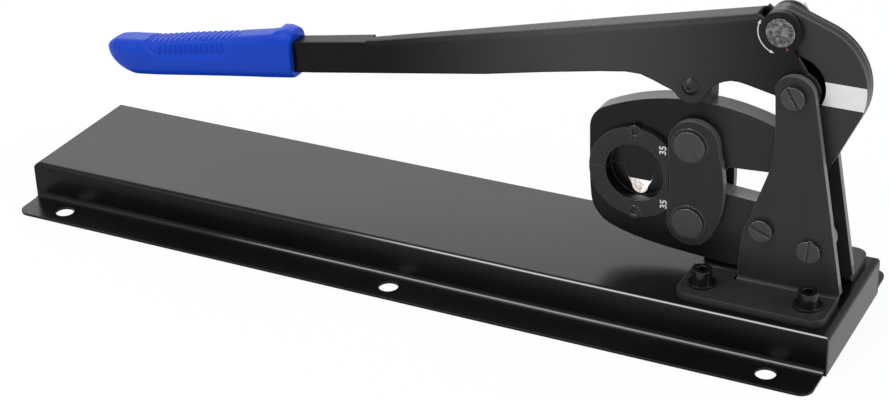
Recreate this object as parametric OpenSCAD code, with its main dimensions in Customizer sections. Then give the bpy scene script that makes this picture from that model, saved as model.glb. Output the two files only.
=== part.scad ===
// Bench lug crimper: a long lever closes an upper jaw on a fixed lower jaw
// through a hooked toggle link. The whole tool stands on a folded steel base.
// Origin: centre of the base on the bench. +X runs to the head, +Z is up,
// and the front of the tool, with the dial, faces -Y.

/* [Base] */
// Length of the folded base
base_len = 540; // [500:5:640]
// Width of the raised top of the base
base_w = 100; // [96:1:140]
// Height of the base
base_h = 25; // [24:1:40]
// Thickness of the base sheet
base_t = 1.5; // [1.2:0.1:3]
// Outer radius of the folded edges
base_fold_r = 3.5; // [3.2:0.1:6]
// Inner radius of the bends between the walls and the flanges
base_bend_r = 4; // [1:0.1:4.5]
// Width of each side flange
flange_w = 25; // [22:1:40]
// Radius of the flange corners
flange_corner_r = 8; // [2:0.5:12]
// Diameter of the six fixing holes
fix_hole_d = 12; // [6:0.5:14]
// Distance of the outer fixing holes from the ends
fix_hole_inset = 31; // [20:1:60]
// Width of the open seam at each folded corner
corner_seam_w = 0.8; // [0.4:0.1:1.5]

/* [Brackets] */
// Thickness of the bracket plates
bracket_t = 4.5; // [3:0.1:5.5]
// Clear distance between the two bracket plates
bracket_gap = 20; // [19.6:0.1:22]
// Radius of the rounded top of the plates
bracket_top_r = 12; // [10:0.1:13]
// Width of the upright plates at their foot
bracket_foot_w = 61; // [56:0.5:66]
// Distance from the link pins to the left edge of the upright plates
bracket_dx = 32; // [30:0.1:33.5]
// Length of the feet along the base
foot_len = 88.5; // [84:0.5:96]
// Reach of the front foot from the face of its upright plate
foot_reach = 29; // [26:0.5:32]
// Reach of the rear foot from the face of its upright plate
rear_foot_reach = 33; // [26:0.5:33]
// Clear distance between the left ends of the two feet
foot_gap = 16; // [13:0.5:20]
// Radius of the foot corners
foot_corner_r = 8; // [2:0.5:9]
// Inner radius of the bracket bend
bracket_bend_r = 2.5; // [1:0.1:4]
// Diameter of the foot screws
foot_screw_d = 8; // [5:0.5:8]

/* [Pivots] */
// Distance from the head end of the base to the two link pins
head_inset = 98; // [94:0.5:120]
// Height of the lower link pin over the base
lower_pin_h = 32.3; // [31.5:0.1:40]
// Distance between the two link pins
link_pitch = 49.3; // [47:0.1:51]
// Distance from the link pins to the lever fulcrum
fulcrum_dx = 60.5; // [58.5:0.5:62.5]
// Height of the lever fulcrum over the base
fulcrum_h = 125; // [123:0.5:127]
// Distance of the dial pin behind the fulcrum, towards the grip
crank_back = 11; // [9:0.5:12]
// Height of the dial pin over the fulcrum
crank_up = 34.3; // [33:0.1:35]
// Distance of the hook pin in front of the fulcrum
hook_pin_dx = 9.5; // [8:0.5:11]
// Distance of the hook pin below the fulcrum
hook_pin_drop = 37; // [35:0.5:39]
// Distance from the link pins to the near clamp bolt
near_bolt_dx = 45.5; // [43:0.5:47]
// Height of the near clamp bolt over the base
near_bolt_h = 39.3; // [37:0.1:40.5]
// Distance from the link pins to the far clamp bolt
far_bolt_dx = 74; // [71:0.5:76]
// Height of the far clamp bolt over the base
far_bolt_h = 32; // [28:0.5:34]

/* [Jaws and dies] */
// Thickness of both jaws
jaw_t = 12; // [10:0.5:12]
// Distance from the link pins to the front end of the jaws
jaw_reach = 64; // [62:0.5:72]
// Radius of the crowned back of the upper jaw
crown_r = 133; // [120:1:150]
// Height of the crown over the upper link pin
crown_rise = 26.5; // [25:0.5:28]
// Radius of the upper jaw's front corner
jaw_corner_r = 16; // [8:0.5:18]
// Distance from the link pins to the middle of the dies
die_dx = 34.5; // [33:0.5:35]
// Radius of the marked ring round the dies
die_ring_r = 28.5; // [27.5:0.1:28.5]
// Thickness of the marked ring
die_ring_t = 3.5; // [2.5:0.1:4]
// Radius of the round mouth in the dies
die_mouth_r = 18.2; // [16:0.1:18.6]
// Radius of the seat that holds the dies in the jaws
die_seat_r = 20.5; // [19.8:0.1:21]
// Width of the crimping faces
die_face_w = 10; // [5:0.1:12]
// Gap between the closed jaws
split_gap = 0.4; // [0.35:0.05:0.6]
// Depth of the punch below the split
punch_depth = 8.5; // [6:0.5:10]
// Depth of the crimping nest below the split
nest_depth = 17.5; // [15:0.5:17.5]
// Half width of the nest at the split
nest_half_w = 9.9; // [8:0.1:10.5]
// Slope of the nest walls from the vertical
nest_slope = 17.8; // [14:0.1:20]

/* [Links] */
// Thickness of the link plates
link_t = 5; // [3:0.1:5]
// Radius of the round top of the link plates
link_top_r = 15.3; // [14:0.1:15.5]
// Radius of the round bottom of the link plates
link_foot_r = 14.3; // [13.5:0.1:15.3]
// Bulge of the front edge of the link plates
link_bulge = 5; // [1:0.1:6]
// Radius of the link pins
link_pin_r = 7; // [5:0.1:8]
// Radius of the heads of the link pins
pin_head_r = 9.3; // [8.6:0.1:9.6]
// Height of the heads over the link plates
pin_head_h = 1.6; // [0.8:0.1:2]

/* [Hook] */
// Thickness of one plate of the hook
hook_plate_t = 2.95; // [2:0.05:2.95]
// Radius of the hook's back
hook_back_r = 36.5; // [34:0.1:38]
// Radius of the round opening round the fulcrum
hook_mouth_r = 18.2; // [17:0.1:19]
// Radius of the hook's upper end
hook_top_r = 12; // [10.5:0.1:12]
// Radius of the hook's lower end
hook_foot_r = 12; // [11.6:0.1:13]
// Radius of the hook pin
hook_pin_r = 4; // [3:0.1:4.2]
// Free play of the hook pin in the arm of the upper jaw
hook_pin_play = 3.8; // [3.7:0.1:3.9]
// Width of the plain label on the hook
label_w = 14; // [8:0.5:16]

/* [Lever] */
// Width of the lever at the head
lever_w = 19; // [18:0.1:19.2]
// Width of the lever under the grip
lever_tail_w = 12; // [10:0.5:14]
// Thickness of the lever sheet
lever_t = 3; // [2:0.1:3]
// Outer radius of the folds along the top of the lever
lever_fold_r = 4.5; // [3:0.1:4.8]
// Fall of the lever towards the grip, in degrees
lever_fall = 13.5; // [12:0.1:15]
// Upward bend of the lever before the grip, in degrees
tail_bend = 3.5; // [0:0.1:5]
// Length of the lever from the dial pin to its end
lever_len = 444; // [420:1:480]
// Height of the lever's top over the dial pin
lever_top = 10.9; // [10:0.1:12]
// Height of the lever where it enters the grip
lever_mouth_h = 20; // [17:0.5:21]
// Height of the lever at its end, inside the grip
lever_tail_h = 17; // [14:0.5:17.5]
// Radius of the lever round the dial pin
dial_boss_r = 12; // [11.5:0.1:12.5]
// Radius of the lever round the fulcrum
fulcrum_boss_r = 13; // [11:0.1:13]
// Radius of the dial
dial_r = 8.3; // [7.5:0.1:9]
// Radius of the dial pin
dial_pin_r = 6; // [4:0.1:6.5]
// Radius of the fulcrum bolt
fulcrum_r = 5; // [4:0.1:5.5]
// Radius of the slotted bolt heads
bolt_head_r = 6.7; // [6.2:0.1:8]

/* [Grip] */
// Length of the grip
grip_len = 143.5; // [130:0.5:160]
// Height of the grip over its length
grip_h = 27; // [26.5:0.1:32]
// Width of the grip
grip_w = 24; // [22:0.5:30]

/* [Hidden] */
$fn = 64;
// One overrun for all cuts
over = 1;
// Radial clearance of every running pin
run_play = 0.05;
// Clearance between parts that slide past each other
slide_play = 0.4;
// Clearance of a shank in a plain hole
shank_play = 0.4;
// Faces of a facetless round piece that has to stay light
grip_sides = 32;

// Pivot places in the side view: along the base, and up from the bench
pin_x = base_len / 2 - head_inset;
lower_pin = [pin_x, base_h + lower_pin_h];
upper_pin_at = lower_pin + [0, link_pitch];
fulcrum = [pin_x + fulcrum_dx, base_h + fulcrum_h];
dial_at = fulcrum + [-crank_back, crank_up];
hook_pin_at = fulcrum + [hook_pin_dx, -hook_pin_drop];
near_bolt = [pin_x + near_bolt_dx, base_h + near_bolt_h];
far_bolt = [pin_x + far_bolt_dx, base_h + far_bolt_h];
die_at = [pin_x - die_dx, lower_pin[1] + link_pitch / 2];

// Faces across the tool
jaw_y = jaw_t / 2;
bracket_in_y = bracket_gap / 2;
bracket_out_y = bracket_in_y + bracket_t;
lever_y = lever_w / 2;
link_in_y = jaw_y + slide_play;
link_out_y = link_in_y + link_t;
pin_end_y = link_out_y + pin_head_h;
hook_y = 2 * hook_plate_t;
ring_y = jaw_y + die_ring_t;

// Points of an arc about c from angle a0 to a1, in n steps
function arc_points(c, r, a0, a1, n) =
  [for (i = [0:n]) c + r * [cos(a0 + (a1 - a0) * i / n), sin(a0 + (a1 - a0) * i / n)]];

// A plate whose side view is the child, from y0 to y1 across the tool
module plate(y0, y1) {
  translate([0, y1, 0]) rotate([90, 0, 0]) linear_extrude(y1 - y0) children();
}

// A round bar across the tool at a place of the side view
module cross_bar(at, r, y0, y1) {
  translate([at[0], y1, at[1]]) rotate([90, 0, 0]) cylinder(h = y1 - y0, r = r);
}

// A round outline at a place of the side view
module disc(at, r) {
  translate(at) circle(r);
}

// A hexagon bar across the tool, given across its flats
module cross_hex(at, flats, y0, y1) {
  translate([at[0], y1, at[1]]) rotate([90, 0, 0])
    cylinder(h = y1 - y0, r = flats / 2 / cos(30), $fn = 6);
}

// A square corner with an arc taken out of it: what rounds a fold, or fills a bend
module corner_shape(r) {
  difference() {
    translate([-over, -over]) square(r + over);
    translate([r, r]) circle(r);
  }
}

// Base: one folded sheet, open below
fix_hole_x = base_len / 2 - fix_hole_inset;
fix_hole_y = base_w / 2 + flange_w / 2;
bracket_left = pin_x + bracket_dx;
bracket_right = bracket_left + bracket_foot_w;
foot_right = bracket_right - 1 / 61 * bracket_foot_w;
foot_left = foot_right - foot_len;
foot_screw_far_x = foot_right - 13.3 / 88.5 * foot_len;
foot_screw_near_x = foot_right - 76.5 / 88.5 * foot_len;
foot_screw_y = bracket_out_y + 13.5 / 29 * foot_reach;
FOOT_SCREWS = [
  for (x = [foot_screw_near_x, foot_screw_far_x], y = [-foot_screw_y, foot_screw_y]) [x, y]
];

// Side view of a folded top with both upper corners rounded
module folded_outline(half, top, r, foot) {
  polygon(concat(
    [[-half, foot], [half, foot]],
    arc_points([half - r, top - r], r, 0, 90, 8),
    arc_points([-half + r, top - r], r, 90, 180, 8)
  ));
}

// A box open below whose four upper edges are folds
module folded_box(half_l, half_w, top, r, foot) {
  intersection() {
    plate(-half_w - over, half_w + over) folded_outline(half_l, top, r, foot);
    translate([-half_l - over, 0, 0]) rotate([90, 0, 90])
      linear_extrude(2 * half_l + 2 * over) folded_outline(half_w, top, r, foot);
  }
}

// The flanges end where the end flaps cover the walls
module flange_outline() {
  half_l = base_len / 2 - base_t;
  edge = base_w / 2 + flange_w;
  union() {
    translate([-half_l, -edge + flange_corner_r])
      square([2 * half_l, 2 * edge - 2 * flange_corner_r]);
    translate([-half_l + flange_corner_r, -edge])
      square([2 * half_l - 2 * flange_corner_r, 2 * edge]);
    for (x = [-1, 1], y = [-1, 1])
      translate([x * (half_l - flange_corner_r), y * (edge - flange_corner_r)])
        circle(flange_corner_r);
  }
}

module base_channel() {
  color([0.09, 0.09, 0.1])
  difference() {
    union() {
      linear_extrude(base_t) flange_outline();
      folded_box(base_len / 2, base_w / 2, base_h, base_fold_r, 0);
      for (side = [0, 1]) mirror([0, side, 0])
        translate([base_t - base_len / 2, base_w / 2, base_t]) rotate([90, 0, 90])
          linear_extrude(base_len - 2 * base_t) corner_shape(base_bend_r);
    }
    folded_box(base_len / 2 - base_t, base_w / 2 - base_t, base_h - base_t,
               base_fold_r - base_t, -over);
    for (x = [-fix_hole_x, 0, fix_hole_x], y = [-fix_hole_y, fix_hole_y])
      translate([x, y, -over]) cylinder(h = base_t + 2 * over, d = fix_hole_d);
    for (p = FOOT_SCREWS)
      translate([p[0], p[1], base_h - base_t - over])
        cylinder(h = base_t + 2 * over, d = foot_screw_d + 2 * shank_play);
    for (x = [-1, 1], y = [-1, 1])
      translate([x * base_len / 2 - base_t - over, y * (base_w / 2 - base_t) - corner_seam_w / 2,
                 base_t])
        cube([2 * base_t + 2 * over, corner_seam_w, base_h - base_fold_r - base_t]);
  }
}

// Brackets: upright plates with feet turned outwards
bend_top = base_h + bracket_t + bracket_bend_r;
bend_relief = bracket_t / 3;

// Left edge of the upright: shares of the plate's foot width and of the fulcrum height
BRACKET_EDGE_SHARES = [
  [0.000, 0.000], [0.000, 0.110], [0.030, 0.290], [0.060, 0.322], [0.092, 0.355],
  [0.118, 0.392], [0.141, 0.432], [0.170, 0.475], [0.197, 0.512], [0.241, 0.576],
  [0.272, 0.624], [0.295, 0.680], [0.307, 0.744], [0.307, 0.832], [0.293, 0.984]
];

module bracket_outline() {
  difference() {
    polygon(concat(
      [[bracket_right, bend_top]],
      arc_points(fulcrum, bracket_top_r, 10, 160, 26),
      [for (i = [len(BRACKET_EDGE_SHARES) - 1:-1:1]) let (s = BRACKET_EDGE_SHARES[i])
        [bracket_left + s[0] * bracket_foot_w, base_h + s[1] * fulcrum_h]],
      [[bracket_left, bend_top]]
    ));
    disc(fulcrum, fulcrum_r);
    disc(near_bolt, bolt_shank_r);
    disc(far_bolt, bolt_shank_r);
  }
}

// The bent corner between foot and upright, seen along the base
module bend_outline() {
  inner = bracket_bend_r;
  outer = bracket_bend_r + bracket_t;
  centre = [-bracket_out_y - inner, bend_top];
  polygon(concat(
    arc_points(centre, outer, -90, 0, 10),
    arc_points(centre, inner, 0, -90, 10)
  ));
}

// A foot, with its left end free of the bend and set back under the jaw
module foot_outline(reach) {
  r = foot_corner_r;
  inner_y = -bracket_out_y - bracket_bend_r;
  outer_y = -bracket_out_y - reach;
  polygon(concat(
    [[foot_left, -foot_gap / 2]],
    arc_points([foot_left + r, outer_y + r], r, 180, 270, 10),
    arc_points([foot_right - r, outer_y + r], r, 270, 360, 10),
    [[foot_right, inner_y], [bracket_left - bend_relief, inner_y],
     [bracket_left - bend_relief, -foot_gap / 2]]
  ));
}

module bracket(reach) {
  color([0.1, 0.1, 0.11])
  difference() {
    union() {
      plate(-bracket_out_y, -bracket_in_y) bracket_outline();
      translate([bracket_left, 0, 0]) rotate([90, 0, 90])
        linear_extrude(foot_right - bracket_left) bend_outline();
      translate([0, 0, base_h]) linear_extrude(bracket_t) foot_outline(reach);
    }
    for (p = FOOT_SCREWS) if (p[1] < 0)
      translate([p[0], p[1], base_h - over])
        cylinder(h = bracket_t + 2 * over, d = foot_screw_d + 2 * shank_play);
  }
}

module front_bracket() { bracket(foot_reach); }
module rear_bracket() { mirror([0, 1, 0]) bracket(rear_foot_reach); }

// Foot fasteners: cap screws, washers and nuts
washer_t = 1.6;
washer_r = 8.5 / 8 * foot_screw_d;
screw_head_r = 5.9 / 8 * foot_screw_d;
screw_head_h = foot_screw_d;
socket_flats = 6 / 8 * foot_screw_d;
foot_nut_h = 6.5 / 8 * foot_screw_d;
foot_nut_flats = 13 / 8 * foot_screw_d;
foot_top = base_h + bracket_t;
base_under = base_h - base_t;

module foot_screws() {
  color([0.12, 0.12, 0.13])
  for (p = FOOT_SCREWS) translate([p[0], p[1], 0]) difference() {
    union() {
      translate([0, 0, foot_top + washer_t]) cylinder(h = screw_head_h, r = screw_head_r);
      translate([0, 0, base_under - washer_t - foot_nut_h - over])
        cylinder(h = foot_top + 2 * washer_t - base_under + foot_nut_h + over + over,
                 d = foot_screw_d);
    }
    translate([0, 0, foot_top + washer_t + screw_head_h / 2])
      cylinder(h = screw_head_h, r = socket_flats / 2 / cos(30), $fn = 6);
  }
}

module washer(z) {
  difference() {
    translate([0, 0, z]) cylinder(h = washer_t, r = washer_r);
    translate([0, 0, z - over])
      cylinder(h = washer_t + 2 * over, d = foot_screw_d + shank_play);
  }
}

module foot_washers() {
  color([0.2, 0.2, 0.21]) for (p = FOOT_SCREWS) translate([p[0], p[1], 0]) washer(foot_top);
}

module under_washers() {
  color([0.6, 0.6, 0.62])
  for (p = FOOT_SCREWS) translate([p[0], p[1], 0]) washer(base_under - washer_t);
}

module foot_nuts() {
  color([0.6, 0.6, 0.62])
  for (p = FOOT_SCREWS) translate([p[0], p[1], base_under - washer_t - foot_nut_h])
    difference() {
      cylinder(h = foot_nut_h, r = foot_nut_flats / 2 / cos(30), $fn = 6);
      translate([0, 0, -over]) cylinder(h = foot_nut_h + 2 * over, d = foot_screw_d);
    }
}

// Clamp bolts: slotted heads in front, nuts behind
bolt_shank_r = 4 / 6.7 * bolt_head_r;
bolt_head_t = 3 / 6.7 * bolt_head_r;
slot_w = 1.9 / 6.7 * bolt_head_r;
slot_depth = bolt_head_t / 2;
bolt_nut_h = 6.5 / 6.7 * bolt_head_r;
bolt_nut_flats = 13 / 6.7 * bolt_head_r;

// A slotted bolt across the tool from its head in front to its nut behind
module slotted_bolt(at, shank_r, slot_angle) {
  head_y = -bracket_out_y - bolt_head_t;
  difference() {
    union() {
      cross_bar(at, bolt_head_r, head_y, -bracket_out_y);
      cross_bar(at, shank_r, -bracket_out_y - over, bracket_out_y + bolt_nut_h + over);
    }
    translate([at[0], head_y - over, at[1]]) rotate([0, -slot_angle, 0])
      translate([-bolt_head_r - over, 0, -slot_w / 2])
        cube([2 * bolt_head_r + 2 * over, slot_depth + over, slot_w]);
  }
}

module hex_nut(at, bore_r) {
  difference() {
    cross_hex(at, bolt_nut_flats, bracket_out_y, bracket_out_y + bolt_nut_h);
    cross_bar(at, bore_r, bracket_out_y - over, bracket_out_y + bolt_nut_h + over);
  }
}

module clamp_bolts() {
  color([0.3, 0.3, 0.31]) {
    slotted_bolt(near_bolt, bolt_shank_r, -22);
    slotted_bolt(far_bolt, bolt_shank_r, 84);
  }
}

module clamp_nuts() {
  color([0.3, 0.3, 0.31]) {
    hex_nut(near_bolt, bolt_shank_r);
    hex_nut(far_bolt, bolt_shank_r);
  }
}

module fulcrum_bolt() { color([0.3, 0.3, 0.31]) slotted_bolt(fulcrum, fulcrum_r, -60); }
module fulcrum_nut() { color([0.3, 0.3, 0.31]) hex_nut(fulcrum, fulcrum_r); }

// Lower jaw: one plate clamped between the brackets
jaw_left = pin_x - jaw_reach;
split_top = die_at[1] + split_gap / 2;
split_low = die_at[1] - split_gap / 2;
heel_r = link_pitch / 2 - split_gap / 2;
jaw_heel_r = jaw_corner_r * 12 / 16;
spacer_r = 8.6;

// Underside of the lower jaw, from its front end to the far clamp bolt:
// shares of the reach of the jaw, and of the height of the lower pin
LOWER_JAW_SHARES = [
  [1.000, 1.500], [0.993, 1.250], [0.985, 1.060], [0.972, 0.940], [0.950, 0.840],
  [0.915, 0.740], [0.870, 0.645], [0.800, 0.565], [0.690, 0.485], [0.560, 0.420],
  [0.400, 0.365], [0.220, 0.320], [0.000, 0.285], [-0.200, 0.260], [-0.400, 0.240],
  [-0.700, 0.225]
];

module lower_jaw_outline() {
  end_r = 10 / 32 * far_bolt_h;
  difference() {
    polygon(concat(
      [for (s = LOWER_JAW_SHARES) [pin_x - s[0] * jaw_reach, base_h + s[1] * lower_pin_h]],
      arc_points(far_bolt, end_r, -90, 60, 14),
      [near_bolt + [0, 11.5 / 38 * near_bolt_h]],
      [[pin_x + 0.35 * jaw_reach, split_low - 0.12 * lower_pin_h]],
      [[pin_x, split_low], [jaw_left, split_low]]
    ));
    disc(die_at, die_seat_r);
    disc(lower_pin, link_pin_r + run_play);
    disc(near_bolt, bolt_shank_r);
    disc(far_bolt, bolt_shank_r);
  }
}

module lower_jaw() {
  color([0.13, 0.13, 0.14])
  difference() {
    plate(-jaw_y, jaw_y) lower_jaw_outline();
    cross_bar(lower_screw_at, die_screw_r, -jaw_y - over, screw_bottom_y);
  }
}

module jaw_spacers() {
  color([0.3, 0.3, 0.31])
  for (at = [near_bolt, far_bolt], side = [-1, 1]) difference() {
    cross_bar(at, spacer_r, side > 0 ? jaw_y : -bracket_in_y, side > 0 ? bracket_in_y : -jaw_y);
    cross_bar(at, bolt_shank_r, -bracket_in_y - over, bracket_in_y + over);
  }
}

// Dies: a marked half ring in front, a seat in the jaw, and the crimping face behind
die_back_y = ring_y;
die_face_y = die_back_y - die_face_w;
die_screw_r = 2.5;
die_screw_head_r = 4.2;
die_screw_head_h = 2.4;
die_screw_dz = 25.9 / 28.5 * die_ring_r;
upper_screw_at = die_at + [0, die_screw_dz];
lower_screw_at = die_at - [0, die_screw_dz];
screw_bottom_y = jaw_y / 2;
link_left = 13.2;
ring_cut = pin_x - link_left - 1.2 * slide_play;
nest_floor_half = 5 / 9.9 * nest_half_w;

// Half of the ring area, above or below the split
module half_plane(side) {
  size = 2 * die_ring_r;
  translate([die_at[0] - size, side > 0 ? split_top : split_low - size]) square([2 * size, size]);
}

module ring_outline() {
  difference() {
    disc(die_at, die_ring_r);
    disc(die_at, die_mouth_r);
    translate([ring_cut, die_at[1] - die_ring_r]) square([die_ring_r, 2 * die_ring_r]);
  }
}

module nest_outline(grow) {
  top = die_at[1] + over;
  tip = die_at[1] - punch_depth;
  floor = die_at[1] - nest_depth;
  wide = nest_half_w + grow + over * tan(nest_slope);
  mid = nest_half_w + grow - punch_depth * tan(nest_slope);
  x = die_at[0];
  polygon(concat(
    [[x - wide, top], [x - mid, tip]],
    arc_points([x, floor + nest_floor_half], nest_floor_half, 180, 360, 12),
    [[x + mid, tip], [x + wide, top]]
  ));
}

module punch_outline() {
  mid = nest_half_w - slide_play - punch_depth * tan(nest_slope);
  wide = nest_half_w - slide_play + (split_gap) * tan(nest_slope);
  x = die_at[0];
  polygon([
    [x - wide, split_top + split_gap], [x - mid, die_at[1] - punch_depth],
    [x + mid, die_at[1] - punch_depth], [x + wide, split_top + split_gap]
  ]);
}

module die_blank(side, screw_at) {
  difference() {
    union() {
      plate(-ring_y, -jaw_y) intersection() { ring_outline(); half_plane(side); }
      plate(-jaw_y - over, die_back_y) intersection() {
        difference() {
          disc(die_at, die_seat_r - run_play);
          disc(die_at, die_mouth_r);
        }
        half_plane(side);
      }
      plate(die_face_y, die_back_y) intersection() {
        disc(die_at, die_mouth_r + over / 2);
        half_plane(side);
      }
    }
    cross_bar(screw_at, die_screw_r + shank_play / 2, -ring_y - over, -jaw_y + over);
    cross_bar(screw_at, die_screw_head_r + shank_play, -ring_y - over,
              -ring_y + die_screw_head_h);
  }
}

module lower_die() {
  color([0.16, 0.16, 0.17])
  difference() {
    die_blank(-1, lower_screw_at);
    plate(die_face_y - over, die_back_y + over) nest_outline(0);
  }
}

module upper_die() {
  color([0.16, 0.16, 0.17])
  union() {
    die_blank(1, upper_screw_at);
    plate(die_face_y, die_back_y) punch_outline();
  }
}

module die_screw(at) {
  color([0.22, 0.22, 0.23])
  difference() {
    union() {
      cross_bar(at, die_screw_head_r, -ring_y, -ring_y + die_screw_head_h);
      cross_bar(at, die_screw_r, -ring_y + die_screw_head_h / 2, screw_bottom_y);
    }
    cross_hex(at, die_screw_head_r, -ring_y - over, -ring_y + die_screw_head_h / 2);
  }
}

module lower_die_screw() { die_screw(lower_screw_at); }
module upper_die_screw() { die_screw(upper_screw_at); }

// Link plates and their pins
link_top_at = upper_pin_at + [2 / 15.3 * link_top_r, 0.5 / 15.3 * link_top_r];
link_foot_at = lower_pin + [1 / 14.3 * link_foot_r, 0];
snap_ring_r = 11.2 / 9.3 * pin_head_r;
snap_ring_t = 0.8;

module link_outline() {
  right_top = link_top_at + link_top_r * [cos(10), sin(10)];
  right_foot = link_foot_at + link_foot_r * [cos(-18), sin(-18)];
  middle = (right_top + right_foot) / 2;
  half = norm(right_top - right_foot) / 2;
  bulge_r = (half * half + link_bulge * link_bulge) / (2 * link_bulge);
  centre = middle - [bulge_r - link_bulge, 0];
  spread = asin(half / bulge_r);
  polygon(concat(
    arc_points(link_foot_at, link_foot_r, -175, -18, 24),
    arc_points(centre, bulge_r, -spread * 0.8, spread * 0.8, 16),
    arc_points(link_top_at, link_top_r, 10, 175, 24),
    [[pin_x - link_left + 1 / 13.2 * link_left, (upper_pin_at[1] + lower_pin[1]) / 2]]
  ));
}

module link_plate() {
  color([0.11, 0.11, 0.12])
  difference() {
    plate(-link_out_y, -link_in_y) link_outline();
    for (at = [upper_pin_at, lower_pin]) {
      cross_bar(at, link_pin_r, -link_out_y - over, -link_in_y + over);
      cross_bar(at, snap_ring_r + run_play, -link_out_y - over, -link_out_y + snap_ring_t);
    }
  }
}

module front_link_plate() { link_plate(); }
module rear_link_plate() { mirror([0, 1, 0]) link_plate(); }

module link_pin(at) {
  color([0.24, 0.24, 0.25])
  union() {
    cross_bar(at, link_pin_r, -pin_end_y, pin_end_y);
    cross_bar(at, pin_head_r, -pin_end_y, -link_out_y + snap_ring_t);
    cross_bar(at, pin_head_r, link_out_y - snap_ring_t, pin_end_y);
  }
}

module upper_pin() { link_pin(upper_pin_at); }
module lower_pin() { link_pin(lower_pin); }

module pin_rings() {
  color([0.2, 0.2, 0.21])
  for (at = [upper_pin_at, lower_pin], side = [-1, 1]) {
    y = side > 0 ? link_out_y - snap_ring_t : -link_out_y - snap_ring_t / 2;
    difference() {
      cross_bar(at, snap_ring_r, y, y + 1.5 * snap_ring_t);
      cross_bar(at, pin_head_r, y - over, y + 1.5 * snap_ring_t + over);
    }
  }
}

// Upper jaw: crowned back, round heel, and an arm that ends in a tongue
crown_at = [pin_x + 4.5 / 64 * jaw_reach, upper_pin_at[1] + crown_rise - crown_r];
corner_x = jaw_left + jaw_corner_r;
corner_at = [corner_x, crown_at[1] + sqrt(pow(crown_r - jaw_corner_r, 2)
             - pow(crown_at[0] - corner_x, 2))];
corner_turn = atan2(corner_at[1] - crown_at[1], corner_at[0] - crown_at[0]);
tongue_r = 11.2;
tongue_y = hook_plate_t - slide_play;
arm_end_x = fulcrum[0] - 12.5 / 60 * fulcrum_dx;
crown_end_turn = acos((arm_end_x - crown_at[0]) / crown_r);

module upper_jaw_outline() {
  polygon(concat(
    [[jaw_left, split_top]],
    [for (p = arc_points(corner_at, jaw_corner_r, 180, corner_turn, 14)) p],
    arc_points(crown_at, crown_r, corner_turn, crown_end_turn, 24),
    [[arm_end_x, upper_pin_at[1] - 9.7 / 49.3 * link_pitch]],
    arc_points(upper_pin_at, heel_r, -28, -90, 14)
  ));
}

module tongue_outline() {
  start = upper_pin_at + [heel_r, 0];
  polygon(concat(
    [[start[0], upper_pin_at[1] - 12.5 / 49.3 * link_pitch],
     [arm_end_x, upper_pin_at[1] - 9.7 / 49.3 * link_pitch]],
    arc_points(hook_pin_at, tongue_r, -80, 80, 16),
    [[arm_end_x, upper_pin_at[1] + 17 / 49.3 * link_pitch], [start[0], upper_pin_at[1]]]
  ));
}

module upper_jaw() {
  color([0.12, 0.12, 0.13])
  difference() {
    union() {
      plate(-jaw_y, jaw_y) upper_jaw_outline();
      plate(-tongue_y, tongue_y) tongue_outline();
    }
    plate(-jaw_y - over, jaw_y + over) disc(die_at, die_seat_r);
    cross_bar(upper_pin_at, link_pin_r + run_play, -jaw_y - over, jaw_y + over);
    cross_bar(hook_pin_at, hook_pin_r + hook_pin_play, -jaw_y - over, jaw_y + over);
    cross_bar(upper_screw_at, die_screw_r, -jaw_y - over, screw_bottom_y);
  }
}

// Hook: four plates side by side that pull the arm up round the fulcrum
hook_back_at = fulcrum + [1.5 / 36.5 * hook_back_r, 3.5 / 36.5 * hook_back_r];
mouth_at = fulcrum + [-3 / 18.2 * hook_mouth_r, 2.5 / 18.2 * hook_mouth_r];
core_clear_r = tongue_r + hook_pin_play + slide_play;

// Direction in which two discs, c1 with r1 and c2 with r2, share a tangent
function tangent_turn(c1, r1, c2, r2) =
  let (d = c2 - c1) atan2(d[1], d[0]) + acos((r1 - r2) / norm(d));

module hook_outline() {
  top_turn = tangent_turn(dial_at, hook_top_r, hook_back_at, hook_back_r);
  foot_turn = tangent_turn(hook_back_at, hook_back_r, hook_pin_at, hook_foot_r);
  polygon(concat(
    arc_points(dial_at, hook_top_r, 250, top_turn, 22),
    arc_points(hook_back_at, hook_back_r, top_turn, foot_turn, 26),
    arc_points(hook_pin_at, hook_foot_r, foot_turn, -190, 18),
    arc_points(mouth_at, hook_mouth_r, -72, 104, 26)
  ));
}

module hook_solid(y0, y1) {
  difference() {
    plate(y0, y1) hook_outline();
    cross_bar(dial_at, dial_pin_r + run_play, y0 - over, y1 + over);
    cross_bar(hook_pin_at, hook_pin_r, y0 - over, y1 + over);
  }
}

module hook_front_plate() {
  color([0.11, 0.11, 0.12]) hook_solid(-hook_y, -hook_plate_t);
}

module hook_rear_plate() {
  color([0.11, 0.11, 0.12]) hook_solid(hook_plate_t, hook_y);
}

// The inner plates stop short of the jaw's tongue
module hook_inner_plates() {
  color([0.13, 0.13, 0.14])
  for (y0 = [-hook_plate_t, 0]) difference() {
    plate(y0, y0 + hook_plate_t) hook_outline();
    cross_bar(dial_at, dial_pin_r + run_play, y0 - over, y0 + hook_plate_t + over);
    plate(y0 - over, y0 + hook_plate_t + over) {
      disc(hook_pin_at, core_clear_r);
      polygon([
        hook_pin_at + core_clear_r * [cos(70), sin(70)],
        hook_pin_at + 3 * core_clear_r * [cos(175), sin(175)],
        hook_pin_at + 3 * core_clear_r * [cos(250), sin(250)],
        hook_pin_at + 3 * core_clear_r * [cos(-30), sin(-30)],
        hook_pin_at + core_clear_r * [cos(10), sin(10)]
      ]);
    }
  }
}

module hook_pin() {
  color([0.3, 0.3, 0.31]) cross_bar(hook_pin_at, hook_pin_r, -hook_y, hook_y);
}

// A plain stuck-on label across the hook
label_t = 0.3;
label_top = fulcrum[1] + 8 / 14 * label_w;

module blank_label() {
  color([0.9, 0.9, 0.9])
  plate(-hook_y - label_t, -hook_y) intersection() {
    hook_outline();
    translate([fulcrum[0], label_top - label_w]) square([2 * hook_back_r, label_w]);
  }
}

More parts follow.
